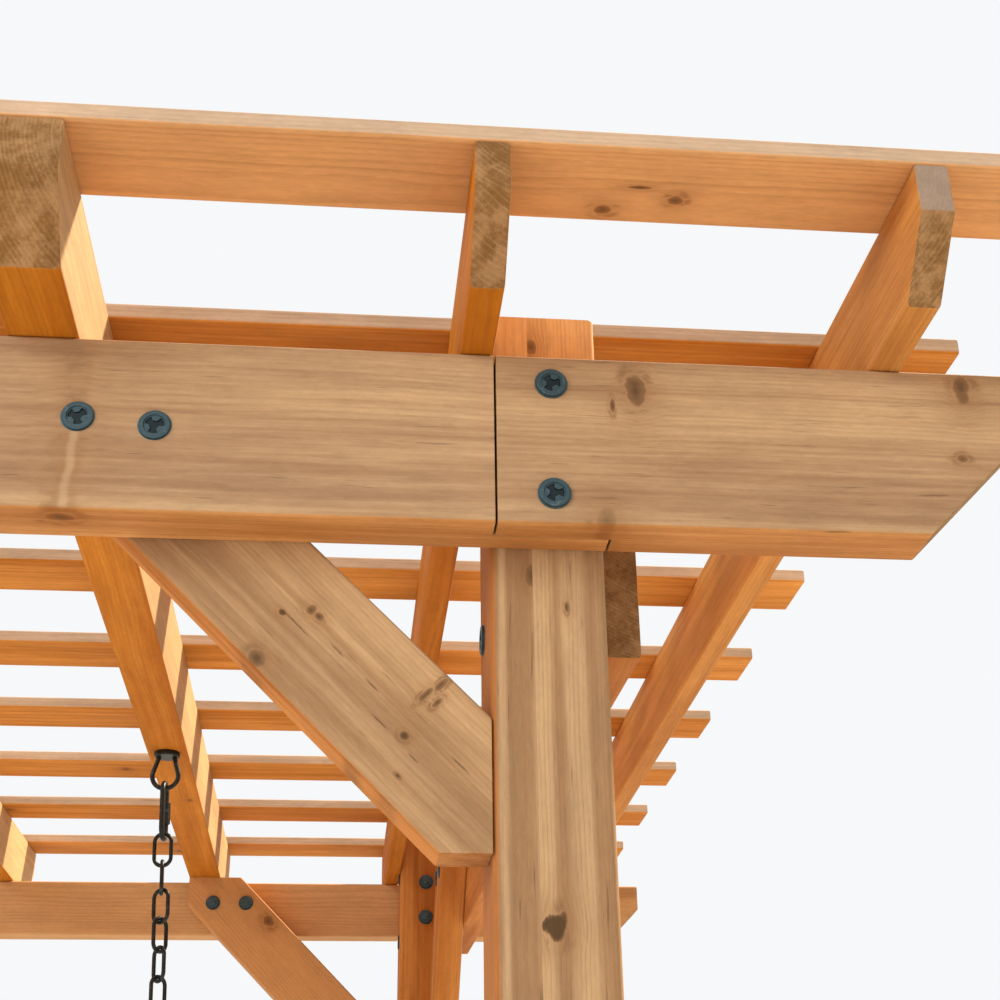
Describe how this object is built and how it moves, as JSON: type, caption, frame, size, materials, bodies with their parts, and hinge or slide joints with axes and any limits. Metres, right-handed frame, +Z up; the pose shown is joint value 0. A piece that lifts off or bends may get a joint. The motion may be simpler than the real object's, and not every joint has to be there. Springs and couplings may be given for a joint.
{
  "type": "garden pergola",
  "caption": "Free-standing timber pergola: square posts, lapped beams with slanted ends, knee braces, rafters, flat roof slats and two short chains for a hanging seat.",
  "frame": {"origin": "on the ground at the middle of the pergola, halfway between the four posts", "axes": "+X along the beams to the right as seen from the front, +Y from the front beam to the rear beam, +Z up"},
  "size_m": [2.842, 2.054, 2.135],
  "materials": {
    "frame_cedar": "oiled softwood with eased edges",
    "slat_cedar": "oiled softwood boards",
    "black_steel": "black powder coat"
  },
  "bodies": {
    "root": {"centre_rafter": "frame_cedar", "front_beam": "frame_cedar", "front_left_beam_end": "frame_cedar", "front_left_knee_brace": "frame_cedar", "front_left_post": "frame_cedar", "front_left_side_brace": "frame_cedar", "front_right_beam_end": "frame_cedar", "front_right_knee_brace": "frame_cedar", "front_right_post": "frame_cedar", "front_right_side_brace": "frame_cedar", "left_end_rafter": "frame_cedar", "left_inner_rafter": "frame_cedar", "left_post_rafter": "frame_cedar", "left_side_rail": "frame_cedar", "left_swing_chain": "black_steel", "left_swing_hanger": "black_steel", "left_swing_rafter": "frame_cedar", "rear_beam": "frame_cedar", "rear_left_beam_end": "frame_cedar", "rear_left_knee_brace": "frame_cedar", "rear_left_post": "frame_cedar", "rear_left_side_brace": "frame_cedar", "rear_right_beam_end": "frame_cedar", "rear_right_knee_brace": "frame_cedar", "rear_right_post": "frame_cedar", "rear_right_side_brace": "frame_cedar", "right_end_rafter": "frame_cedar", "right_inner_rafter": "frame_cedar", "right_post_rafter": "frame_cedar", "right_side_rail": "frame_cedar", "right_swing_chain": "black_steel", "right_swing_hanger": "black_steel", "right_swing_rafter": "frame_cedar", "roof_slat_1": "slat_cedar", "roof_slat_2": "slat_cedar", "roof_slat_3": "slat_cedar", "roof_slat_4": "slat_cedar", "roof_slat_5": "slat_cedar", "roof_slat_6": "slat_cedar", "roof_slat_7": "slat_cedar", "roof_slat_8": "slat_cedar", "roof_slat_9": "slat_cedar"}
  },
  "joints": []
}
